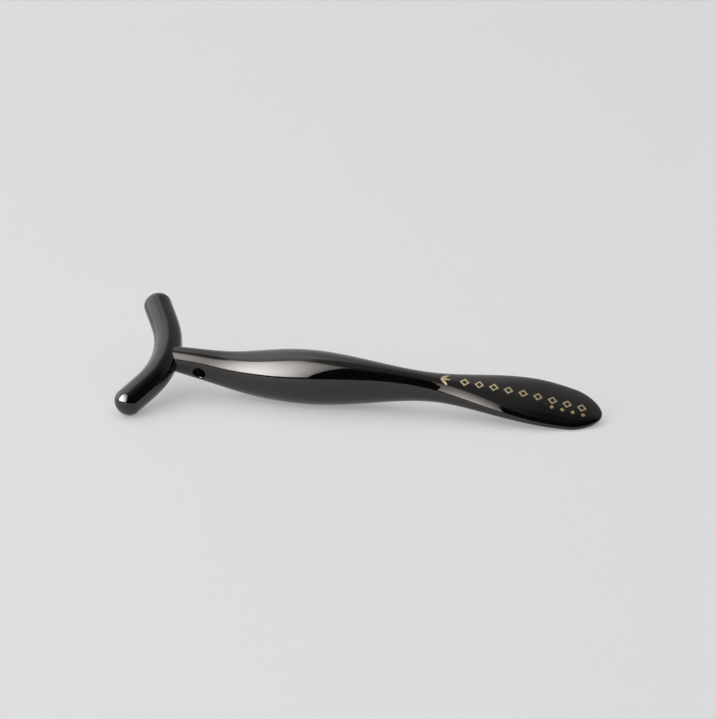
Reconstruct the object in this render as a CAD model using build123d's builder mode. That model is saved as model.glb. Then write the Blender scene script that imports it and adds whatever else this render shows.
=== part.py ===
from build123d import *
from math import atan2, cos, degrees, radians, sin, sqrt
import os

# A T-shaped facial massage tool: a bowed round bar across the end of a sculpted handle that swells
# into a belly, narrows to a waist and ends in a flat paddle. All sizes are in millimetres.
# The tool is modelled with X along the handle from the bar's axis, Y across it and Z out of the
# paddle's upper face, and is then laid down as it rests on a table.

# Head bar
barRadius = 5.25
barSpan = 49.0           # between the centres of the two domed ends
bowRadius = 33.0         # centreline radius of the bend in the middle
bowAngle = 28.2          # how far each arm sweeps forward, in degrees
bowTilt = 3.5            # how far both arms rise above the handle's line, in degrees
domeHeight = 4.6

# Handle: each section is (x, upper line, lower line, half width, squareness).
# A squareness of 2 is an ellipse and more is a fuller, flatter section.
neckStart = (0.0, 4.4, -4.5, 4.2, 2.1)
neckEye = (13.5, 4.3, -7.9, 4.95, 2.25)
neckDip = (24.0, 4.15, -10.3, 6.2, 2.25)
shoulder = (33.0, 5.4, -11.8, 7.75, 2.15)
bellyRise = (42.0, 7.25, -12.35, 9.15, 2.05)
belly = (54.0, 8.95, -12.5, 9.65, 2.0)
flank = (77.0, 8.4, -9.5, 7.0, 2.0)
waist = (100.0, 6.2, -5.0, 5.3, 2.0)
paddleRoot = (119.0, 4.8, -3.7, 8.1, 2.25)
paddleBroad = (140.0, 2.0, -3.9, 10.6, 2.5)
paddleEnd = (152.0, -0.4, -5.0, 9.5, 2.5)
tipReach = 163.0         # bar axis to the tip of the paddle
tipDrop = -2.2           # upper line carried on to the tip
tipFloor = -6.2          # lower line carried on to the tip
tipHalfWidth = 7.2       # half width carried on to the tip, before the end is rounded off
sectionPoints = 20

# Cord eye through the neck
eyeRadius = 2.4

# Steel stud that joins the bar to the handle
studRadius = 1.5
studInBar = 7.0          # how deep the stud sits in the bar, from the bar's back
studInNeck = 4.0
studClearance = 0.05
studChamfer = 0.3

# Gold print on the paddle's upper face
printThickness = 0.06
markCount = 9
markPitch = 5.4
markLength = 3.6         # across the points of one lozenge
markStroke = 0.55
firstMark = 112.4        # centre of the first lozenge along the handle
smallMarkCount = 4
smallMarkPitch = 3.85
smallMarkLength = 1.7
smallMarkRow = -3.1      # centre line of the small row, across the handle
firstSmallMark = 145.0
leafCount = 3
leafLength = 3.6
leafWidth = 0.95
leafSpread = 42.0        # angle between two leaves, in degrees
sprigFoot = 103.6        # where the leaves meet, along the handle


def blend(start, end, share):
    return tuple(a + (b - a) * share for a, b in zip(start, end))


def roundedTip():
    # The end closes along an ellipse, so its sections crowd together towards the tip.
    carried = (tipReach, tipDrop, tipFloor, tipHalfWidth, paddleEnd[4])
    sections = []
    for angle in (25, 45, 62, 76, 86):
        along = sin(radians(angle))
        x, top, bottom, half, square = blend(paddleEnd, carried, along)
        middle = (top + bottom) / 2
        closing = cos(radians(angle))
        reach = (top - bottom) / 2 * closing
        sections.append((x, middle + reach, middle - reach, half * closing, square))
    return sections


sections = [neckStart, neckEye, neckDip, shoulder, bellyRise, belly, flank, waist]
sections += [paddleRoot, paddleBroad, paddleEnd]
sections += roundedTip()


def sectionOutline(section):
    x, top, bottom, half, square = section
    points = []
    for step in range(sectionPoints):
        angle = radians(360 * step / sectionPoints)
        across = abs(cos(angle)) ** (2 / square)
        upward = abs(sin(angle)) ** (2 / square)
        side = half * across * (1 if cos(angle) >= 0 else -1)
        rise = (top - bottom) / 2 * upward * (1 if sin(angle) >= 0 else -1)
        points.append((side, rise))
    return points


def sectionPlane(section):
    x, top, bottom = section[:3]
    return Plane(origin=(x, 0, (top + bottom) / 2), x_dir=(0, 1, 0), z_dir=(1, 0, 0))


# The bowed bar lies in its own plane, whose X points forward, away from the handle, and whose Y
# points to the side that rests on the table.
bowPlane = Plane(
    origin=(0, 0, 0),
    x_dir=(-cos(radians(bowTilt)), 0, sin(radians(bowTilt))),
    z_dir=(sin(radians(bowTilt)), 0, cos(radians(bowTilt))),
)
bend = radians(bowAngle)
armLength = (barSpan / 2 - bowRadius * sin(bend)) / cos(bend)
bendEnd = Vector(bowRadius * (1 - cos(bend)), bowRadius * sin(bend))


def armPlane(side):
    foot = bowPlane.from_local_coords(Vector(bendEnd.X, side * bendEnd.Y))
    outward = bowPlane.from_local_coords(Vector(sin(bend), side * cos(bend)))
    return Plane(origin=foot, x_dir=outward, z_dir=bowPlane.z_dir)


with BuildPart() as head_bar:
    with BuildLine(bowPlane) as bowLine:
        ThreePointArc((bendEnd.X, -bendEnd.Y), (0, 0), (bendEnd.X, bendEnd.Y))
    with BuildSketch(Plane(origin=bowLine.line @ 0, z_dir=bowLine.line % 0)):
        Circle(barRadius)
    sweep()
    for side in (-1, 1):
        with BuildSketch(armPlane(side)):
            with BuildLine():
                Line((0, barRadius), (0, 0))
                Line((0, 0), (armLength + domeHeight, 0))
                EllipticalCenterArc((armLength, 0), domeHeight, barRadius, arc_size=90)
                Line((armLength, barRadius), (0, barRadius))
            make_face()
        revolve(axis=Axis(armPlane(side).origin, armPlane(side).x_dir))

barSolid = Part(head_bar.part.wrapped)

with BuildPart() as handle:
    for section in sections:
        with BuildSketch(sectionPlane(section)):
            with BuildLine():
                Spline(*sectionOutline(section), periodic=True)
            make_face()
    loft()
    add(barSolid, mode=Mode.SUBTRACT)
    # The eye runs straight across the neck, at the middle of its height.
    with BuildSketch(Plane.XZ.shift_origin((neckEye[0], 0, (neckEye[1] + neckEye[2]) / 2))):
        Circle(eyeRadius)
    extrude(amount=neckEye[3] * 2, both=True, mode=Mode.SUBTRACT)
    # Socket for the stud, open at the saddle.
    with BuildSketch(Plane.YZ.offset(barRadius + studInNeck)):
        Circle(studRadius + studClearance)
    extrude(amount=-studInNeck - barRadius, mode=Mode.SUBTRACT)


with BuildPart() as head_stud:
    with BuildSketch(Plane.YZ.offset(barRadius - studInBar)):
        Circle(studRadius)
    extrude(amount=studInBar + studInNeck - studClearance)
    chamfer(head_stud.edges().filter_by(GeomType.CIRCLE), studChamfer)

with head_bar:
    # Blind socket for the stud, opening at the back of the bar.
    with BuildSketch(Plane.YZ.offset(barRadius - studInBar - studClearance)):
        Circle(studRadius + studClearance)
    extrude(amount=studInBar + barRadius, mode=Mode.SUBTRACT)


# The print is a thin raised layer: its outlines are cut out of a copy of the handle that has been
# lifted by the print's thickness.
printDepth = belly[1] + printThickness
skin = Pos(0, 0, printThickness) * Part(handle.part.wrapped)

with BuildPart() as gold_mark_row:
    with BuildSketch():
        with Locations(*[(firstMark + index * markPitch, 0) for index in range(markCount)]):
            RegularPolygon(markLength / 2, 4)
            RegularPolygon(markLength / 2 - markStroke * sqrt(2), 4, mode=Mode.SUBTRACT)
    extrude(amount=printDepth, both=True)
    add(skin, mode=Mode.INTERSECT)
    add(handle.part, mode=Mode.SUBTRACT)

with BuildPart() as gold_small_row:
    with BuildSketch():
        places = [firstSmallMark + index * smallMarkPitch for index in range(smallMarkCount)]
        with Locations(*[(place, smallMarkRow) for place in places]):
            RegularPolygon(smallMarkLength / 2, 4)
    extrude(amount=printDepth, both=True)
    add(skin, mode=Mode.INTERSECT)
    add(handle.part, mode=Mode.SUBTRACT)

with BuildPart() as gold_sprig:
    with BuildSketch():
        for leaf in range(leafCount):
            turn = (leaf - (leafCount - 1) / 2) * leafSpread
            middle = Vector(cos(radians(turn)), sin(radians(turn))) * leafLength / 2
            with Locations(Location((sprigFoot + middle.X, middle.Y), turn)):
                Ellipse(leafLength / 2, leafWidth / 2)
    extrude(amount=printDepth, both=True)
    add(skin, mode=Mode.INTERSECT)
    add(handle.part, mode=Mode.SUBTRACT)


# Laid on a table the tool rests on one end of the bar, on its belly and on one edge of the paddle.
# It is rolled about X and pitched about Y until these three are level.
front = handle.part.split(Plane.YZ.offset(waist[0]), keep=Keep.BOTTOM)
rear = handle.part.split(Plane.YZ.offset(waist[0]), keep=Keep.TOP)


def lowest(solid, roll, pitch):
    turned = Rot(0, pitch, 0) * Rot(roll, 0, 0) * solid
    return turned.bounding_box().min.Z


def restAttitude():
    roll = 0.0
    pitch = 0.0
    for step in range(8):
        bellyFloor = lowest(front, roll, pitch)
        pitch += degrees(atan2(lowest(rear, roll, pitch) - bellyFloor, paddleBroad[0] - belly[0]))
        roll += degrees(atan2(lowest(head_bar.part, roll, pitch) - bellyFloor, barSpan / 2))
    return roll, pitch


roll, pitch = restAttitude()
laidDown = Rot(0, pitch, 0) * Rot(roll, 0, 0)
outer = Compound([laidDown * head_bar.part, laidDown * handle.part]).bounding_box()
rest = Pos(-outer.center().X, -outer.center().Y, -outer.min.Z) * laidDown

os.makedirs("parts", exist_ok=True)
pieces = {
    "head_bar": head_bar,
    "head_stud": head_stud,
    "handle": handle,
    "gold_sprig": gold_sprig,
    "gold_mark_row": gold_mark_row,
    "gold_small_row": gold_small_row,
}
for label, piece in pieces.items():
    placed = rest * piece.part
    placed.label = label
    export_step(placed, f"parts/{label}.step")
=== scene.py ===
import bpy
import math
import numpy as np
from mathutils import Matrix, Vector


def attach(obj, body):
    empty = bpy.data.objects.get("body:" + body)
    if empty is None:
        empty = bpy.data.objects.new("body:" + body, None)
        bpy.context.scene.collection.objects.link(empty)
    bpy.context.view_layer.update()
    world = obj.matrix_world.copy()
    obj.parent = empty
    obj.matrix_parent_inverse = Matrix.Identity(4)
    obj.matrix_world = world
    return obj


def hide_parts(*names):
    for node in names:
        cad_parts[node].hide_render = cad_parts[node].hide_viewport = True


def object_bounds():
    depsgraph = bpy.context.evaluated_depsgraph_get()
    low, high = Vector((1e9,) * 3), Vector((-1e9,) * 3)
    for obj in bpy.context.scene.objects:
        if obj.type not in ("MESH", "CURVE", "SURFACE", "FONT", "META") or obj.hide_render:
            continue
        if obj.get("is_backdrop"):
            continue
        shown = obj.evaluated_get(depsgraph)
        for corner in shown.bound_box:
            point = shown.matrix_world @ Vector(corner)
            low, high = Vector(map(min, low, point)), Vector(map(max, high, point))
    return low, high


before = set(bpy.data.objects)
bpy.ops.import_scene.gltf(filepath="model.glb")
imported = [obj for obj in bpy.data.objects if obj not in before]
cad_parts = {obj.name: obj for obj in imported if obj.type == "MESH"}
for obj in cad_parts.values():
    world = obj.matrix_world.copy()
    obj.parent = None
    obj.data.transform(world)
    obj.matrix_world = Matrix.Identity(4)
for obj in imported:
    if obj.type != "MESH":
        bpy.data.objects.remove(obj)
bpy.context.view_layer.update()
mm = 0.001

# The tool's own frame: X along the handle from the bar's axis, Y across it, Z out of the paddle's
# upper face. It lies rolled onto one end of the bar and pitched down to the paddle.
restPose = {
    "roll": 25.3759,
    "pitch": 2.8119,
    "barAxis": (-74.1722, 0.2144, 14.7824),
}

handleShape = {
    # along, upper line, lower line, half width, squareness
    "sections": (
        (0.0, 4.4, -4.5, 4.2, 2.1),
        (13.5, 4.3, -7.9, 4.95, 2.25),
        (24.0, 4.15, -10.3, 6.2, 2.25),
        (33.0, 5.4, -11.8, 7.75, 2.15),
        (42.0, 7.25, -12.35, 9.15, 2.05),
        (54.0, 8.95, -12.5, 9.65, 2.0),
        (77.0, 8.4, -9.5, 7.0, 2.0),
        (100.0, 6.2, -5.0, 5.3, 2.0),
        (119.0, 4.8, -3.7, 8.1, 2.25),
        (140.0, 2.0, -3.9, 10.6, 2.5),
        (152.0, -0.4, -5.0, 9.5, 2.5),
        (163.0, -2.2, -6.2, 7.2, 2.5),
    ),
    "tipStart": 152.0,
    "tip": 163.0,
    "ringSpacing": 0.4,
    "tipRings": 40,
    "around": 192,
    "eyeAlong": 13.5,
    "eyeRadius": 2.4,
    "eyeLip": 0.7,
    "eyeBlock": 4.1,
    "eyeRings": 7,
    "lipRings": 13,
}

barShape = {
    "radius": 5.25,
    "span": 49.0,
    "bowRadius": 33.0,
    "bowAngle": 28.2,
    "bowTilt": 3.5,
    "domeHeight": 4.6,
    "easing": 5.0,
    "lineSteps": 8001,
    "rings": 241,
    "domeRings": 30,
    "around": 128,
}


def rotation(axis, degrees):
    turn = math.radians(degrees)
    c, s = math.cos(turn), math.sin(turn)
    if axis == "X":
        return np.array([[1, 0, 0], [0, c, -s], [0, s, c]])
    return np.array([[c, 0, s], [0, 1, 0], [-s, 0, c]])


laidDown = rotation("Y", restPose["pitch"]) @ rotation("X", restPose["roll"])


def toFrame(points):
    return (np.asarray(points) @ laidDown.T + np.array(restPose["barAxis"])) * mm


def turned(normals):
    return np.asarray(normals) @ laidDown.T


def unit(vectors):
    return vectors / np.maximum(np.linalg.norm(vectors, axis=-1, keepdims=True), 1e-12)


# A smooth line through the given points, with no bend at its two ends.
def smoothLine(places, values):
    places = np.array(places, float)
    values = np.array(values, float)
    count = len(places)
    step = np.diff(places)
    slope = np.diff(values) / step
    system = np.zeros((count, count))
    target = np.zeros(count)
    system[0, 0] = system[-1, -1] = 1.0
    for i in range(1, count - 1):
        system[i, i - 1:i + 2] = step[i - 1], 2 * (step[i - 1] + step[i]), step[i]
        target[i] = 6 * (slope[i] - slope[i - 1])
    bendings = np.linalg.solve(system, target)

    def line(x):
        x = np.asarray(x, float)
        i = np.clip(np.searchsorted(places, x) - 1, 0, count - 2)
        left = x - places[i]
        right = places[i + 1] - x
        h = step[i]
        curved = (bendings[i] * right ** 3 + bendings[i + 1] * left ** 3) / (6 * h)
        straight = (values[i] / h - bendings[i] * h / 6) * right
        return curved + straight + (values[i + 1] / h - bendings[i + 1] * h / 6) * left

    return line


stations = list(zip(*handleShape["sections"]))
upperLine, lowerLine, widthLine, squareLine = [smoothLine(stations[0], row) for row in stations[1:]]


def closing(x):
    beyond = (x - handleShape["tipStart"]) / (handleShape["tip"] - handleShape["tipStart"])
    return np.sqrt(np.clip(1 - np.clip(beyond, 0, 1) ** 2, 0, 1))


def sectionAt(x):
    shut = closing(x)
    middle = (upperLine(x) + lowerLine(x)) / 2
    return middle, (upperLine(x) - lowerLine(x)) / 2 * shut, widthLine(x) * shut


def signedPower(value, power):
    return np.sign(value) * np.abs(value) ** power


def handlePoint(x, angle):
    middle, height, width = sectionAt(x)
    power = 2 / squareLine(x)
    side = width * signedPower(np.cos(angle), power)
    return np.stack([x + 0 * angle, side, middle + height * signedPower(np.sin(angle), power)], -1)


def handleNormal(x, angle):
    dx, da = 1e-3, 1e-4
    along = handlePoint(np.minimum(x + dx, handleShape["tip"]), angle) - handlePoint(x - dx, angle)
    around = handlePoint(x, angle + da) - handlePoint(x, angle - da)
    return unit(np.cross(around, along))


def sideDepth(x, z):
    middle, height, width = sectionAt(x)
    square = squareLine(x)
    return width * np.clip(1 - np.abs((z - middle) / height) ** square, 1e-6, 1) ** (1 / square)


def faceHeight(x, y):
    middle, height, width = sectionAt(x)
    square = squareLine(x)
    return middle + height * np.clip(1 - np.abs(y / width) ** square, 0, 1) ** (1 / square)


# Bar centreline in its own plane: forward and sideways, worked out from its heading so that the
# straight arms ease into the bend.
def barCentreline():
    bend = math.radians(barShape["bowAngle"])
    arm = (barShape["span"] / 2 - barShape["bowRadius"] * math.sin(bend)) / math.cos(bend)
    half = barShape["bowRadius"] * bend + arm
    fine = np.linspace(-half, half, barShape["lineSteps"])
    pace = fine[1] - fine[0]
    heading = np.clip(fine / barShape["bowRadius"], -bend, bend)
    window = int(barShape["easing"] / pace)
    padded = np.concatenate([np.full(window, -bend), heading, np.full(window, bend)])
    kernel = np.hanning(2 * window + 1)
    heading = np.convolve(padded, kernel / kernel.sum(), "valid")

    def addedUp(rate):
        return np.concatenate([[0], np.cumsum((rate[1:] + rate[:-1]) / 2 * pace)])

    forward = addedUp(np.sin(heading))
    sideways = addedUp(np.cos(heading))
    forward -= forward.min()
    sideways -= sideways.mean()
    return fine, forward, sideways, heading


barAlong, barForward, barSideways, barHeading = barCentreline()
tilt = math.radians(barShape["bowTilt"])
forwardAxis = np.array([-math.cos(tilt), 0, math.sin(tilt)])
sideAxis = np.array([0, 1.0, 0])
liftAxis = np.array([math.sin(tilt), 0, math.cos(tilt)])


def makeMesh(name, vertices, faces, normals=None):
    mesh = bpy.data.meshes.new(name)
    mesh.from_pydata([tuple(v) for v in vertices], [], [tuple(f) for f in faces])
    mesh.validate()
    mesh.shade_smooth()
    if normals is not None:
        mesh.normals_split_custom_set_from_vertices([tuple(n) for n in normals])
    piece = bpy.data.objects.new(name, mesh)
    bpy.context.scene.collection.objects.link(piece)
    return piece


def makeHeadBar():
    along = np.linspace(barAlong[0], barAlong[-1], barShape["rings"])
    forward = np.interp(along, barAlong, barForward)
    sideways = np.interp(along, barAlong, barSideways)
    heading = np.interp(along, barAlong, barHeading)
    centres = forward[:, None] * forwardAxis + sideways[:, None] * sideAxis
    tangents = np.sin(heading)[:, None] * forwardAxis + np.cos(heading)[:, None] * sideAxis
    radius, dome = barShape["radius"], barShape["domeHeight"]
    rings = []
    latitudes = np.linspace(math.pi / 2, 0, barShape["domeRings"], endpoint=False)[1:]
    for latitude in latitudes:
        rings.append((centres[0], tangents[0], -latitude))
    rings += [(centre, tangent, 0.0) for centre, tangent in zip(centres, tangents)]
    for latitude in latitudes[::-1]:
        rings.append((centres[-1], tangents[-1], latitude))
    around = np.linspace(0, 2 * math.pi, barShape["around"], endpoint=False)
    vertices, normals = [], []
    for centre, tangent, latitude in rings:
        across = np.cross(tangent, liftAxis)
        radial = np.cos(around)[:, None] * across + np.sin(around)[:, None] * liftAxis
        reach, rise = math.cos(latitude), math.sin(latitude)
        vertices.append(centre + radial * radius * reach + tangent * dome * rise)
        normals.append(unit(radial * reach / radius + tangent * rise / dome))
    count = barShape["around"]
    vertices = list(np.concatenate(vertices))
    normals = list(np.concatenate(normals))
    faces = []
    for ring in range(len(rings) - 1):
        for k in range(count):
            a, b = ring * count + k, ring * count + (k + 1) % count
            faces.append((a, a + count, b + count, b))

    # Each dome closes on its pole.
    for ring, end, sign in ((0, 0, -1), (len(rings) - 1, -1, 1)):
        pole = len(vertices)
        vertices.append(centres[end] + tangents[end] * dome * sign)
        normals.append(tangents[end] * sign)
        for k in range(count):
            a, b = ring * count + k, ring * count + (k + 1) % count
            faces.append((pole, a, b) if sign < 0 else (pole, b, a))
    return makeMesh("headBar", toFrame(vertices), faces, turned(normals))


saddle = {
    "farthest": 9.0,
    "halvings": 24,
    "bite": 0.05,
    "lineStride": 20,
}


# How far along each meridian of the neck the bar's surface lies, less a small bite into the bar.
def saddleStart(angles):
    low = np.full(len(angles), 0.0)
    high = np.full(len(angles), saddle["farthest"])
    centres = barForward[:, None] * forwardAxis + barSideways[:, None] * sideAxis
    centres = centres[::saddle["lineStride"]]
    for halving in range(saddle["halvings"]):
        middle = (low + high) / 2
        points = handlePoint(middle, angles)
        gaps = np.linalg.norm(points[:, None, :] - centres[None], axis=-1).min(1)
        inside = gaps < barShape["radius"] - saddle["bite"]
        low = np.where(inside, middle, low)
        high = np.where(inside, high, middle)
    return (low + high) / 2


def makeHandle():
    shape = handleShape
    count = shape["around"]
    angles = -math.pi / 2 + np.linspace(0, 2 * math.pi, count, endpoint=False)
    start = saddleStart(angles)
    tipStart, tip = shape["tipStart"], shape["tip"]
    straight = np.linspace(0, 1, int(tipStart / shape["ringSpacing"]), endpoint=False)
    rounding = np.sin(np.linspace(0, math.pi / 2, shape["tipRings"], endpoint=False))
    rows = [start + (tipStart - start) * share for share in straight]
    rows += [np.full(count, tipStart + (tip - tipStart) * share) for share in rounding]
    rows = np.array(rows)
    grid = np.broadcast_to(angles, rows.shape)
    vertices = list(handlePoint(rows, grid).reshape(-1, 3))
    shortOfTip = 2e-3
    normals = list(handleNormal(np.minimum(rows, tip - shortOfTip), grid).reshape(-1, 3))
    rowCount = len(rows)

    # Blocks of the grid that give way to the cord eye, one on each side of the neck.
    eye = shape["eyeAlong"]
    eyeMiddle, eyeHeight, _ = sectionAt(np.array(eye))
    quarter = count // 4
    reach = int(round(math.asin(shape["eyeBlock"] / float(eyeHeight)) / (2 * math.pi / count)))
    inBlock = np.abs(rows[:, quarter] - eye) <= shape["eyeBlock"]
    firstRow, lastRow = np.where(inBlock)[0][[0, -1]]
    faces = []
    for row in range(rowCount - 1):
        for k in range(count):
            inRows = firstRow <= row < lastRow
            nearSide = quarter - reach <= k < quarter + reach
            farSide = 3 * quarter - reach <= k < 3 * quarter + reach
            if inRows and (nearSide or farSide):
                continue
            a, b = row * count + k, row * count + (k + 1) % count
            faces.append((a, b, b + count, a + count))

    # The paddle's tip closes on one point, and the neck is closed inside the bar.
    middle, _, _ = sectionAt(np.array(tip))
    tipPoint = len(vertices)
    vertices.append(np.array([tip, 0, float(middle)]))
    normals.append(np.array([1.0, 0, 0]))
    last = (rowCount - 1) * count
    for k in range(count):
        faces.append((last + k, last + (k + 1) % count, tipPoint))
    inner = len(vertices)
    vertices.append(np.array([1.0, 0, 0]))
    normals.append(np.array([-1.0, 0, 0]))
    for k in range(count):
        faces.append((k, inner, (k + 1) % count))

    # The eye: rings shrink from the block's edge to a circle, roll over the lip and go through.
    edge = [(row, -reach) for row in range(firstRow, lastRow)]
    edge += [(lastRow, k) for k in range(-reach, reach)]
    edge += [(row, reach) for row in range(lastRow, firstRow, -1)]
    edge += [(firstRow, k) for k in range(reach, -reach, -1)]
    loops = {}
    outer = {}
    for side, column in ((1, quarter), (-1, 3 * quarter)):
        outer[side] = [row * count + column + side * k for row, k in edge]
    flat = np.array([vertices[i][[0, 2]] for i in outer[1]])
    centre = np.array([eye, float(eyeMiddle)])
    spokes = flat - centre
    lengths = np.linalg.norm(spokes, axis=1, keepdims=True)
    radius, lip = shape["eyeRadius"], shape["eyeLip"]

    def lipDepth(flatPoints):
        rho = np.linalg.norm(flatPoints - centre, axis=1)
        share = np.clip((radius + lip - rho) / lip, 0, 1)
        return lip * (1 - np.sqrt(np.clip(1 - share ** 2, 0, 1)))

    def sidePoint(flatPoints, side):
        depth = sideDepth(flatPoints[:, 0], flatPoints[:, 1]) - lipDepth(flatPoints)
        return np.stack([flatPoints[:, 0], side * depth, flatPoints[:, 1]], -1)

    def sideNormal(flatPoints, side):
        small = 1e-4
        alongX = sidePoint(flatPoints + [small, 0], side) - sidePoint(flatPoints - [small, 0], side)
        alongZ = sidePoint(flatPoints + [0, small], side) - sidePoint(flatPoints - [0, small], side)
        return unit(np.cross(alongZ, alongX)) * side

    # Shares up to 1 shrink the block's edge to the lip, and from 1 to 2 they roll over the lip.
    shares = list(np.linspace(0, 1, shape["eyeRings"] + 1)[1:])
    shares += [1 + value for value in np.sin(np.linspace(0, math.pi / 2, shape["lipRings"] + 1))[1:]]
    lipOuter = centre + spokes / lengths * (radius + lip)
    for side in (1, -1):
        previous = outer[side]
        for share in shares:
            if share <= 1:
                points = flat + (lipOuter - flat) * share
            else:
                points = centre + spokes / lengths * (radius + lip * (2 - share))
            made = len(vertices)
            vertices.extend(sidePoint(points, side))
            if share < 2:
                normals.extend(sideNormal(points, side))
            else:
                inward = -spokes / lengths
                normals.extend(np.stack([inward[:, 0], 0 * inward[:, 0], inward[:, 1]], -1))
            ring = list(range(made, made + len(points)))
            for j in range(len(ring)):
                n = (j + 1) % len(ring)
                quad = (previous[j], previous[n], ring[n], ring[j])
                faces.append(quad[::-1] if side > 0 else quad)
            previous = ring
        loops[side] = previous
    for j in range(len(loops[1])):
        n = (j + 1) % len(loops[1])
        faces.append((loops[-1][j], loops[-1][n], loops[1][n], loops[1][j]))
    return makeMesh("handleBody", toFrame(vertices), faces, turned(normals))


headBar = makeHeadBar()
handleBody = makeHandle()
print("bar and handle made")

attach(headBar, "root")
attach(handleBody, "root")
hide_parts("head_bar")
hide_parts("handle")

printShape = {
    "proud": 0.05,
    "sunk": 0.03,
    "sharpFrom": 35.0,
    "markCount": 9,
    "markPitch": 5.4,
    "markLength": 3.6,
    "markStroke": 0.55,
    "firstMark": 112.4,
    "smallCount": 4,
    "smallPitch": 3.85,
    "smallLength": 1.7,
    "smallRow": -3.1,
    "firstSmall": 145.0,
    "leafCount": 3,
    "leafLength": 3.6,
    "leafWidth": 0.95,
    "leafFullness": 0.975,
    "leafTaper": 0.225,
    "leafSpread": 42.0,
    "sprigFoot": 103.6,
}


# A film of ink on the paddle's upper face, closed all round. With a second outline inside the
# first it is hollow; without one it fills the outline.
def inkPatch(outer, inner=None, steps=4):
    hollow = inner is not None
    goal = inner if hollow else np.broadcast_to(outer.mean(0), outer.shape)
    shares = np.linspace(0, 1, steps + 1)
    rows = [outer + (goal - outer) * share for share in (shares if hollow else shares[:-1])]
    sheets = [(flat, printShape["proud"]) for flat in rows]
    sheets += [(flat, -printShape["sunk"]) for flat in reversed(rows)]
    vertices, faces = [], []
    for flat, lift in sheets:
        rise = faceHeight(flat[:, 0], flat[:, 1]) + lift
        vertices.extend(np.stack([flat[:, 0], flat[:, 1], rise], -1))
    count, half = len(outer), len(rows)
    for row in range(2 * half):
        if not hollow and row == half - 1:
            continue
        after = (row + 1) % (2 * half)
        for k in range(count):
            n = (k + 1) % count
            faces.append((row * count + k, row * count + n, after * count + n, after * count + k))
    if not hollow:
        middle = outer.mean(0)
        rise = faceHeight(middle[0], middle[1])
        for row, lift in ((half - 1, printShape["proud"]), (half, -printShape["sunk"])):
            pole = len(vertices)
            vertices.append(np.array([middle[0], middle[1], float(rise) + lift]))
            for k in range(count):
                n = (k + 1) % count
                rim = (row * count + k, row * count + n)
                faces.append((*rim, pole) if lift > 0 else (*rim[::-1], pole))
    return vertices, faces


def lozenge(x, y, length, steps=8):
    corners = np.array([(1, 0), (0, 1), (-1, 0), (0, -1), (1, 0)], float) * length / 2
    points = []
    for corner, following in zip(corners[:-1], corners[1:]):
        points += [corner + (following - corner) * step / steps for step in range(steps)]
    return np.array(points) + (x, y)


def leafOutline(turn, steps=40):
    around = np.linspace(0, 2 * math.pi, steps, endpoint=False)
    length, width = printShape["leafLength"], printShape["leafWidth"]
    along = length / 2 * (1 + np.cos(around))
    taper = printShape["leafFullness"] - printShape["leafTaper"] * np.cos(around)
    across = width / 2 * np.sin(around) * taper
    c, s = math.cos(turn), math.sin(turn)
    return np.stack([printShape["sprigFoot"] + along * c - across * s, along * s + across * c], -1)


def joinPatches(name, patches):
    vertices, faces = [], []
    for points, quads in patches:
        first = len(vertices)
        vertices.extend(points)
        faces.extend([tuple(first + i for i in quad) for quad in quads])
    piece = makeMesh(name, toFrame(vertices), faces)
    piece.data.set_sharp_from_angle(angle=math.radians(printShape["sharpFrom"]))
    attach(piece, "root")
    return piece


def makePrint():
    shape = printShape
    marks = []
    for index in range(shape["markCount"]):
        x = shape["firstMark"] + index * shape["markPitch"]
        inner = shape["markLength"] - 2 * math.sqrt(2) * shape["markStroke"]
        marks.append(inkPatch(lozenge(x, 0, shape["markLength"]), lozenge(x, 0, inner), 3))
    markRow = joinPatches("goldMarkRow", marks)
    small = []
    for index in range(shape["smallCount"]):
        x = shape["firstSmall"] + index * shape["smallPitch"]
        small.append(inkPatch(lozenge(x, shape["smallRow"], shape["smallLength"])))
    smallRow = joinPatches("goldSmallRow", small)
    leaves = []
    for leaf in range(shape["leafCount"]):
        turn = math.radians((leaf - (shape["leafCount"] - 1) / 2) * shape["leafSpread"])
        leaves.append(inkPatch(leafOutline(turn)))
    sprig = joinPatches("goldSprig", leaves)
    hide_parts("gold_mark_row")
    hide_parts("gold_small_row")
    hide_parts("gold_sprig")
    return markRow, smallRow, sprig


goldPieces = makePrint()
print("print made")


def newGroup(name, inputs, outputs):
    group = bpy.data.node_groups.new(name, "ShaderNodeTree")
    for label, kind, default in inputs:
        socket = group.interface.new_socket(label, in_out="INPUT", socket_type=kind)
        socket.default_value = default
    for label, kind in outputs:
        group.interface.new_socket(label, in_out="OUTPUT", socket_type=kind)
    return group, group.nodes.new("NodeGroupInput"), group.nodes.new("NodeGroupOutput")


def addNode(tree, kind, values=None, **settings):
    node = tree.nodes.new(kind)
    for key, value in settings.items():
        setattr(node, key, value)
    for key, value in (values or {}).items():
        node.inputs[key].default_value = value
    return node


def productOf(tree, first, second):
    times = addNode(tree, "ShaderNodeMath", operation="MULTIPLY")
    tree.links.new(first, times.inputs[0])
    tree.links.new(second, times.inputs[1])
    return times.outputs[0]


scratchLook = {
    # turn, stretch, offset
    "layers": ((0.35, 22.0, 0.0), (-0.7, 26.0, 3.1), (1.25, 18.0, 7.7)),
    "line": {"Detail": 2.0, "Roughness": 0.5, "Distortion": 0.25},
    "thin": {"From Min": 0.655, "From Max": 0.70},
    "patch": {"Scale": 90.0, "Detail": 2.0},
    "patchShare": {"From Min": 0.42, "From Max": 0.62},
}


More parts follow.
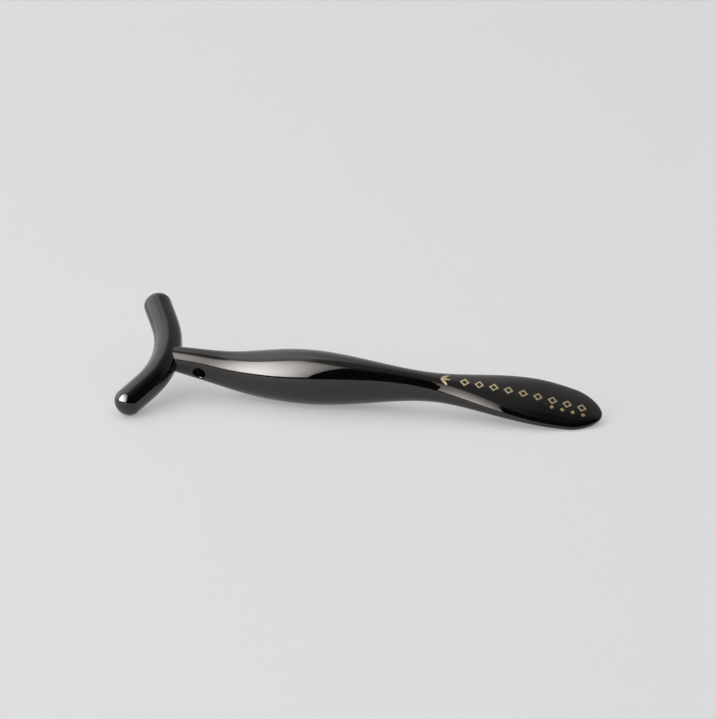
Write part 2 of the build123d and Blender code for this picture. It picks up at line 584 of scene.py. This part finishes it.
# Hairlines in three directions, present only in patches.
def makeFineScratches():
    inputs = [("Scale", "NodeSocketFloat", 60.0), ("Density", "NodeSocketFloat", 0.5)]
    group, given, result = newGroup("fineScratches", inputs, [("Mask", "NodeSocketFloat")])
    link = group.links.new
    place = addNode(group, "ShaderNodeTexCoord")
    total = None
    for turn, stretch, offset in scratchLook["layers"]:
        mapping = addNode(group, "ShaderNodeMapping")
        mapping.inputs["Rotation"].default_value = (turn, 0.4 * turn, turn)
        mapping.inputs["Location"].default_value = (offset, offset, offset)
        mapping.inputs["Scale"].default_value = (1.0, stretch, stretch)
        noise = addNode(group, "ShaderNodeTexNoise", scratchLook["line"])
        narrow = addNode(group, "ShaderNodeMapRange", scratchLook["thin"])
        link(place.outputs["Object"], mapping.inputs["Vector"])
        link(mapping.outputs["Vector"], noise.inputs["Vector"])
        link(given.outputs["Scale"], noise.inputs["Scale"])
        link(noise.outputs["Fac"], narrow.inputs["Value"])
        if total is None:
            total = narrow.outputs["Result"]
        else:
            more = addNode(group, "ShaderNodeMath", operation="MAXIMUM")
            link(total, more.inputs[0])
            link(narrow.outputs["Result"], more.inputs[1])
            total = more.outputs[0]
    patch = addNode(group, "ShaderNodeTexNoise", scratchLook["patch"])
    here = addNode(group, "ShaderNodeMapRange", scratchLook["patchShare"])
    link(place.outputs["Object"], patch.inputs["Vector"])
    link(patch.outputs["Fac"], here.inputs["Value"])
    masked = productOf(group, total, here.outputs["Result"])
    link(productOf(group, masked, given.outputs["Density"]), result.inputs["Mask"])
    return group


smudgeLook = {
    "noise": {"Detail": 4.0, "Roughness": 0.55, "Distortion": 0.6},
    "share": {"From Min": 0.48, "From Max": 0.78},
}


def makeSmudges():
    inputs = [("Scale", "NodeSocketFloat", 70.0), ("Amount", "NodeSocketFloat", 1.0)]
    group, given, result = newGroup("smudges", inputs, [("Mask", "NodeSocketFloat")])
    link = group.links.new
    place = addNode(group, "ShaderNodeTexCoord")
    broad = addNode(group, "ShaderNodeTexNoise", smudgeLook["noise"])
    soft = addNode(group, "ShaderNodeMapRange", smudgeLook["share"], interpolation_type="SMOOTHSTEP")
    link(place.outputs["Object"], broad.inputs["Vector"])
    link(given.outputs["Scale"], broad.inputs["Scale"])
    link(broad.outputs["Fac"], soft.inputs["Value"])
    link(productOf(group, soft.outputs["Result"], given.outputs["Amount"]), result.inputs["Mask"])
    return group


wearBreakup = {"Scale": 900.0, "Detail": 4.0, "Roughness": 0.6}


def makeEdgeWear():
    inputs = [("Start", "NodeSocketFloat", 0.56), ("End", "NodeSocketFloat", 0.70)]
    group, given, result = newGroup("edgeWear", inputs, [("Mask", "NodeSocketFloat")])
    link = group.links.new
    geometry = addNode(group, "ShaderNodeNewGeometry")
    place = addNode(group, "ShaderNodeTexCoord")
    breakup = addNode(group, "ShaderNodeTexNoise", wearBreakup)
    ramp = addNode(group, "ShaderNodeMapRange")
    link(place.outputs["Object"], breakup.inputs["Vector"])
    link(geometry.outputs["Pointiness"], ramp.inputs["Value"])
    link(given.outputs["Start"], ramp.inputs["From Min"])
    link(given.outputs["End"], ramp.inputs["From Max"])
    link(productOf(group, ramp.outputs["Result"], breakup.outputs["Fac"]), result.inputs["Mask"])
    return group


fineScratches = makeFineScratches()
smudges = makeSmudges()
edgeWear = makeEdgeWear()


def startMaterial(name):
    material = bpy.data.materials.new(name)
    material.use_nodes = True
    tree = material.node_tree
    return material, tree, tree.nodes["Principled BSDF"]


def useGroup(tree, group, **values):
    node = tree.nodes.new("ShaderNodeGroup")
    node.node_tree = group
    for key, value in values.items():
        node.inputs[key].default_value = value
    return node


def mixColours(tree, factor, first, second):
    mix = addNode(tree, "ShaderNodeMix", data_type="RGBA")
    mix.inputs["A"].default_value = first
    mix.inputs["B"].default_value = second
    tree.links.new(factor, mix.inputs["Factor"])
    return mix.outputs["Result"]


def rangeOf(tree, source, low, high):
    spread = addNode(tree, "ShaderNodeMapRange", {"To Min": low, "To Max": high})
    tree.links.new(source, spread.inputs["Value"])
    return spread.outputs["Result"]


def addBump(tree, strength, depth, invert=False):
    return addNode(tree, "ShaderNodeBump", {"Strength": strength, "Distance": depth}, invert=invert)


blackCoat = {
    "deep": (0.0030, 0.0028, 0.0026, 1.0),
    "smudged": (0.0065, 0.0060, 0.0055, 1.0),
    "worn": (0.030, 0.028, 0.026, 1.0),
    "ior": 1.62,
    "tint": (1.0, 0.95, 0.90, 1.0),
    "polish": 0.018,
    "hazed": 0.075,
    "scratchScale": 55.0,
    "scratchHaze": 0.55,
    "scratchStrength": 0.012,
    "scratchDepth": 0.2 * mm,
    "smudgeScale": 70.0,
    "wearStart": 0.57,
    "wearEnd": 0.75,
    "peel": {"Scale": 420.0, "Detail": 1.0},
    "peelStrength": 0.010,
    "peelDepth": 1.0 * mm,
}


def makeBlackCoat():
    look = blackCoat
    material, tree, shader = startMaterial("blackGlossCoat")
    link = tree.links.new
    scratch = useGroup(tree, fineScratches, Scale=look["scratchScale"], Density=1.0)
    smudge = useGroup(tree, smudges, Scale=look["smudgeScale"], Amount=1.0)
    wear = useGroup(tree, edgeWear, Start=look["wearStart"], End=look["wearEnd"])
    soiled = mixColours(tree, smudge.outputs["Mask"], look["deep"], look["smudged"])
    worn = addNode(tree, "ShaderNodeMix", {"B": look["worn"]}, data_type="RGBA")
    link(soiled, worn.inputs["A"])
    link(wear.outputs["Mask"], worn.inputs["Factor"])
    link(worn.outputs["Result"], shader.inputs["Base Color"])
    haze = addNode(tree, "ShaderNodeMath", operation="MULTIPLY_ADD")
    haze.inputs[1].default_value = look["scratchHaze"]
    link(scratch.outputs["Mask"], haze.inputs[0])
    link(smudge.outputs["Mask"], haze.inputs[2])
    roughness = rangeOf(tree, haze.outputs[0], look["polish"], look["hazed"])
    link(roughness, shader.inputs["Roughness"])
    place = addNode(tree, "ShaderNodeTexCoord")
    peel = addNode(tree, "ShaderNodeTexNoise", look["peel"])
    link(place.outputs["Object"], peel.inputs["Vector"])
    ripple = addBump(tree, look["peelStrength"], look["peelDepth"])
    cut = addBump(tree, look["scratchStrength"], look["scratchDepth"], invert=True)
    link(peel.outputs["Fac"], ripple.inputs["Height"])
    link(scratch.outputs["Mask"], cut.inputs["Height"])
    link(ripple.outputs["Normal"], cut.inputs["Normal"])
    link(cut.outputs["Normal"], shader.inputs["Normal"])
    shader.inputs["IOR"].default_value = look["ior"]
    shader.inputs["Specular Tint"].default_value = look["tint"]
    return material


goldInk = {
    "bright": (0.61, 0.49, 0.30, 1.0),
    "thin": (0.41, 0.32, 0.19, 1.0),
    "smooth": 0.30,
    "rough": 0.48,
    "metallic": 0.85,
    "cover": {"Scale": 1100.0, "Detail": 5.0, "Roughness": 0.7},
    "thinShare": {"From Min": 0.40, "From Max": 0.68},
    "flake": {"Scale": 5200.0, "Detail": 2.0},
    "grainStrength": 0.12,
    "grainDepth": 0.02 * mm,
}


def makeGoldInk():
    look = goldInk
    material, tree, shader = startMaterial("goldInk")
    link = tree.links.new
    place = addNode(tree, "ShaderNodeTexCoord")
    flake = addNode(tree, "ShaderNodeTexNoise", look["flake"])
    cover = addNode(tree, "ShaderNodeTexNoise", look["cover"])
    link(place.outputs["Object"], flake.inputs["Vector"])
    link(place.outputs["Object"], cover.inputs["Vector"])
    patchy = addNode(tree, "ShaderNodeMapRange", look["thinShare"])
    link(cover.outputs["Fac"], patchy.inputs["Value"])
    colour = mixColours(tree, patchy.outputs["Result"], look["bright"], look["thin"])
    link(colour, shader.inputs["Base Color"])
    roughness = rangeOf(tree, cover.outputs["Fac"], look["smooth"], look["rough"])
    link(roughness, shader.inputs["Roughness"])
    grain = addBump(tree, look["grainStrength"], look["grainDepth"])
    link(flake.outputs["Fac"], grain.inputs["Height"])
    link(grain.outputs["Normal"], shader.inputs["Normal"])
    shader.inputs["Metallic"].default_value = look["metallic"]
    return material


turnedSteel = {
    "bright": (0.55, 0.55, 0.56, 1.0),
    "scored": (0.34, 0.34, 0.35, 1.0),
    "smooth": 0.28,
    "rough": 0.42,
    "scratchScale": 140.0,
}


def makeStudSteel():
    look = turnedSteel
    material, tree, shader = startMaterial("turnedSteel")
    link = tree.links.new
    scratch = useGroup(tree, fineScratches, Scale=look["scratchScale"], Density=1.0)
    colour = mixColours(tree, scratch.outputs["Mask"], look["bright"], look["scored"])
    link(colour, shader.inputs["Base Color"])
    roughness = rangeOf(tree, scratch.outputs["Mask"], look["smooth"], look["rough"])
    link(roughness, shader.inputs["Roughness"])
    shader.inputs["Metallic"].default_value = 1.0
    return material


def dress(piece, material):
    piece.data.materials.clear()
    piece.data.materials.append(material)


blackGlossCoat = makeBlackCoat()
goldFoil = makeGoldInk()
studSteel = makeStudSteel()
dress(headBar, blackGlossCoat)
dress(handleBody, blackGlossCoat)
for piece in goldPieces:
    dress(piece, goldFoil)
dress(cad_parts["head_stud"], studSteel)
print("materials made")

studio = {
    "cameraAzimuth": 10.7,
    "cameraElevation": 22.0,
    "cameraDistance": 1.332,
    "cameraLens": 180.2,
    "aimOffset": (-0.0038, 0.0111, -0.0010),
    "clipStart": 0.05,
    "clipEnd": 50.0,
}


# A direction given as degrees to the right of the camera and degrees above the floor.
def studioDirection(right, up):
    turn = math.radians(studio["cameraAzimuth"] + right)
    rise = math.radians(up)
    return Vector((math.sin(turn) * math.cos(rise), -math.cos(turn) * math.cos(rise), math.sin(rise)))


low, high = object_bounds()
objectCentre = (low + high) / 2


def makeCamera():
    camera = bpy.data.objects.new("camera", bpy.data.cameras.new("camera"))
    bpy.context.scene.collection.objects.link(camera)
    back = studioDirection(0, studio["cameraElevation"])
    camera.location = objectCentre + Vector(studio["aimOffset"]) + back * studio["cameraDistance"]
    camera.rotation_euler = (-back).to_track_quat("-Z", "Y").to_euler()
    camera.data.lens = studio["cameraLens"]
    camera.data.clip_start = studio["clipStart"]
    camera.data.clip_end = studio["clipEnd"]
    bpy.context.scene.camera = camera


# Corners as degrees to the right of the camera and above the table, seen from the tool.
softbox = {
    "corners": ((-84, 2), (-22, 7), (-8, 62), (-84, 72)),
    "facing": (-42, 34),
    "distance": 3.2,
    "radiance": 29.0,
    "dimsAcrossFrom": 0.35,
    "levelAtSide": 0.08,
    "dimsUpFrom": 0.22,
    "levelAtTop": 0.10,
}


def softboxCorners():
    normal = studioDirection(*softbox["facing"])
    points = []
    for right, up in softbox["corners"]:
        ray = studioDirection(right, up)
        points.append(ray * (softbox["distance"] / ray.dot(normal)))
    return points


# A level that is 1 until the given share of the way from start to end, and then falls.
def fading(tree, source, start, end, share, level):
    values = {"From Min": start + share * (end - start), "From Max": end, "To Min": 1.0, "To Max": level}
    fade = addNode(tree, "ShaderNodeMapRange", values)
    tree.links.new(source, fade.inputs["Value"])
    return fade.outputs["Result"]


# What the gloss sees: a panel that dims toward its top and toward the camera's side.
def makeSoftbox():
    points = softboxCorners()
    middle = sum(points, Vector()) / 4
    along = (points[1] - points[0]).normalized()
    normal = studioDirection(*softbox["facing"])
    upward = normal.cross(along).normalized()
    along = upward.cross(normal)
    flat = [((p - middle).dot(along), (p - middle).dot(upward)) for p in points]
    mesh = bpy.data.meshes.new("softbox")
    mesh.from_pydata([(x, y, 0) for x, y in flat], [], [(0, 1, 2, 3)])
    panel = bpy.data.objects.new("softbox", mesh)
    bpy.context.scene.collection.objects.link(panel)
    turn = Matrix((along, upward, along.cross(upward))).transposed().to_4x4()
    panel.matrix_world = Matrix.Translation(middle) @ turn
    left, right = min(x for x, y in flat), max(x for x, y in flat)
    bottom, top = min(y for x, y in flat), max(y for x, y in flat)
    material, tree, shader = startMaterial("softboxGlow")
    link = tree.links.new
    place = addNode(tree, "ShaderNodeTexCoord")
    split = addNode(tree, "ShaderNodeSeparateXYZ")
    link(place.outputs["Object"], split.inputs[0])
    look = softbox
    across = fading(tree, split.outputs["X"], left, right, look["dimsAcrossFrom"], look["levelAtSide"])
    upright = fading(tree, split.outputs["Y"], bottom, top, look["dimsUpFrom"], look["levelAtTop"])
    strength = addNode(tree, "ShaderNodeMath", operation="MULTIPLY")
    strength.inputs[1].default_value = look["radiance"]
    link(productOf(tree, across, upright), strength.inputs[0])
    glow = addNode(tree, "ShaderNodeEmission")
    link(strength.outputs[0], glow.inputs["Strength"])
    link(glow.outputs[0], tree.nodes["Material Output"].inputs["Surface"])
    tree.nodes.remove(shader)
    dress(panel, material)
    panel.visible_camera = False
    panel.visible_diffuse = False
    panel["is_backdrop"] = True


# What the table receives: soft area lights that the gloss doesn't show. Degrees to the right of the
# camera, degrees up, distance, width, height, radiance.
castLights = {
    "softboxCast": (-42, 34, 1.3, 1.2, 1.0, 1.0),
    "overheadFill": (0, 90, 1.5, 3.2, 3.2, 0.73),
    "rearCast": (-140, 40, 1.6, 1.6, 1.6, 0.45),
}


def castLight(name, right, up, distance, width, height, radiance):
    light = bpy.data.lights.new(name, "AREA")
    light.shape = "RECTANGLE"
    light.size = width
    light.size_y = height
    light.energy = radiance * math.pi * width * height
    panel = bpy.data.objects.new(name, light)
    bpy.context.scene.collection.objects.link(panel)
    direction = studioDirection(right, up)
    panel.location = direction * distance
    panel.rotation_euler = (-direction).to_track_quat("-Z", "Y").to_euler()
    panel.visible_camera = False
    panel.visible_glossy = False


table = {
    "size": 9.0,
    "grey": (0.632, 0.632, 0.640, 1.0),
    "pale": (0.645, 0.645, 0.652, 1.0),
    "mottle": {"Scale": 9.0, "Detail": 3.0},
    "roughness": 0.85,
    "specular": 0.15,
    # The table glows with a little light of its own: painted fill light that lifts the shadows under the
    # tool.
    "glow": (1.0, 1.0, 1.012, 1.0),
    "paintedShadowLift": 0.30,
}


def makeFloor():
    half = table["size"] / 2
    corners = [(-half, -half, 0), (half, -half, 0), (half, half, 0), (-half, half, 0)]
    mesh = bpy.data.meshes.new("floor")
    mesh.from_pydata(corners, [], [(0, 1, 2, 3)])
    floor = bpy.data.objects.new("floor", mesh)
    bpy.context.scene.collection.objects.link(floor)
    material, tree, shader = startMaterial("paleTable")
    place = addNode(tree, "ShaderNodeTexCoord")
    mottle = addNode(tree, "ShaderNodeTexNoise", table["mottle"])
    tree.links.new(place.outputs["Object"], mottle.inputs["Vector"])
    paper = mixColours(tree, mottle.outputs["Fac"], table["grey"], table["pale"])
    tree.links.new(paper, shader.inputs["Base Color"])
    shader.inputs["Roughness"].default_value = table["roughness"]
    shader.inputs["Specular IOR Level"].default_value = table["specular"]
    # Painted fill light: the table's own glow lightens every shadow on it.
    shader.inputs["Emission Color"].default_value = table["glow"]
    shader.inputs["Emission Strength"].default_value = table["paintedShadowLift"]
    dress(floor, material)
    floor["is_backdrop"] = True


# The room seen in the gloss: brightness by degrees to the right of the camera, for the walls and
# for the ceiling, then the zenith above both. The gloss sees it and the table's light doesn't count it.
room = {
    "backdrop": (0.66, 0.66, 0.67, 1.0),
    "walls": (
        (-180, 0.80), (-160, 1.15), (-140, 1.50), (-120, 1.75), (-95, 1.95), (-75, 1.60), (-60, 0.50),
        (-35, 0.06), (-20, 0.012), (60, 0.012), (78, 0.03), (100, 0.27), (120, 0.42), (150, 0.50),
        (180, 0.80),
    ),
    "ceiling": (
        (-180, 0.95), (-150, 1.50), (-100, 1.05), (-40, 0.60), (-18, 0.32), (2, 0.28), (22, 0.10),
        (60, 0.06), (100, 0.15), (150, 0.42), (180, 0.95),
    ),
    "ceilingFrom": 50.0,
    "ceilingFull": 75.0,
    "zenithFrom": 72.0,
    "zenithFull": 88.0,
    "zenith": (0.30, 0.30, 0.30, 1.0),
}


def brightnessRamp(tree, source, stops):
    ramp = addNode(tree, "ShaderNodeValToRGB")
    marks = ramp.color_ramp
    marks.interpolation = "EASE"
    for index, (degrees, level) in enumerate(stops):
        share = (degrees + 180) / 360
        mark = marks.elements[index] if index < 2 else marks.elements.new(share)
        mark.position = share
        mark.color = (level, level, level, 1)
    tree.links.new(source, ramp.inputs[0])
    return ramp.outputs[0]


def heightMask(tree, height, start, full):
    mask = addNode(tree, "ShaderNodeMapRange", interpolation_type="SMOOTHSTEP")
    mask.inputs["From Min"].default_value = math.sin(math.radians(start))
    mask.inputs["From Max"].default_value = math.sin(math.radians(full))
    tree.links.new(height, mask.inputs["Value"])
    return mask.outputs["Result"]


def makeWorld():
    world = bpy.data.worlds.new("studioWorld")
    bpy.context.scene.world = world
    world.cycles_visibility.diffuse = False
    world.use_nodes = True
    tree = world.node_tree
    link = tree.links.new
    shown = tree.nodes["Background"]
    shown.inputs["Color"].default_value = room["backdrop"]
    place = addNode(tree, "ShaderNodeTexCoord")
    level = addNode(tree, "ShaderNodeMapping")
    level.inputs["Rotation"].default_value = (0, 0, -math.radians(studio["cameraAzimuth"]))
    split = addNode(tree, "ShaderNodeSeparateXYZ")
    toward = addNode(tree, "ShaderNodeMath", operation="MULTIPLY")
    toward.inputs[1].default_value = -1.0
    bearing = addNode(tree, "ShaderNodeMath", operation="ARCTAN2")
    share = addNode(tree, "ShaderNodeMapRange", {"From Min": -math.pi, "From Max": math.pi})
    link(place.outputs["Generated"], level.inputs["Vector"])
    link(level.outputs["Vector"], split.inputs[0])
    link(split.outputs["Y"], toward.inputs[0])
    link(split.outputs["X"], bearing.inputs[0])
    link(toward.outputs[0], bearing.inputs[1])
    link(bearing.outputs[0], share.inputs["Value"])
    walls = brightnessRamp(tree, share.outputs["Result"], room["walls"])
    ceiling = brightnessRamp(tree, share.outputs["Result"], room["ceiling"])
    upper = heightMask(tree, split.outputs["Z"], room["ceilingFrom"], room["ceilingFull"])
    highest = heightMask(tree, split.outputs["Z"], room["zenithFrom"], room["zenithFull"])
    sides = addNode(tree, "ShaderNodeMix", data_type="RGBA")
    together = addNode(tree, "ShaderNodeMix", data_type="RGBA")
    link(upper, sides.inputs["Factor"])
    link(walls, sides.inputs["A"])
    link(ceiling, sides.inputs["B"])
    link(highest, together.inputs["Factor"])
    link(sides.outputs["Result"], together.inputs["A"])
    together.inputs["B"].default_value = room["zenith"]
    reflected = addNode(tree, "ShaderNodeBackground")
    link(together.outputs["Result"], reflected.inputs["Color"])
    path = addNode(tree, "ShaderNodeLightPath")
    mixer = addNode(tree, "ShaderNodeMixShader")
    link(path.outputs["Is Camera Ray"], mixer.inputs[0])
    link(reflected.outputs[0], mixer.inputs[1])
    link(shown.outputs[0], mixer.inputs[2])
    link(mixer.outputs[0], tree.nodes["World Output"].inputs["Surface"])


makeCamera()
makeFloor()
makeWorld()
makeSoftbox()
for name, settings in castLights.items():
    castLight(name, *settings)
bpy.context.scene.view_settings.view_transform = "Standard"
print("studio made")

low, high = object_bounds()
print("visual box", [round(v, 5) for v in (*low, *high)])
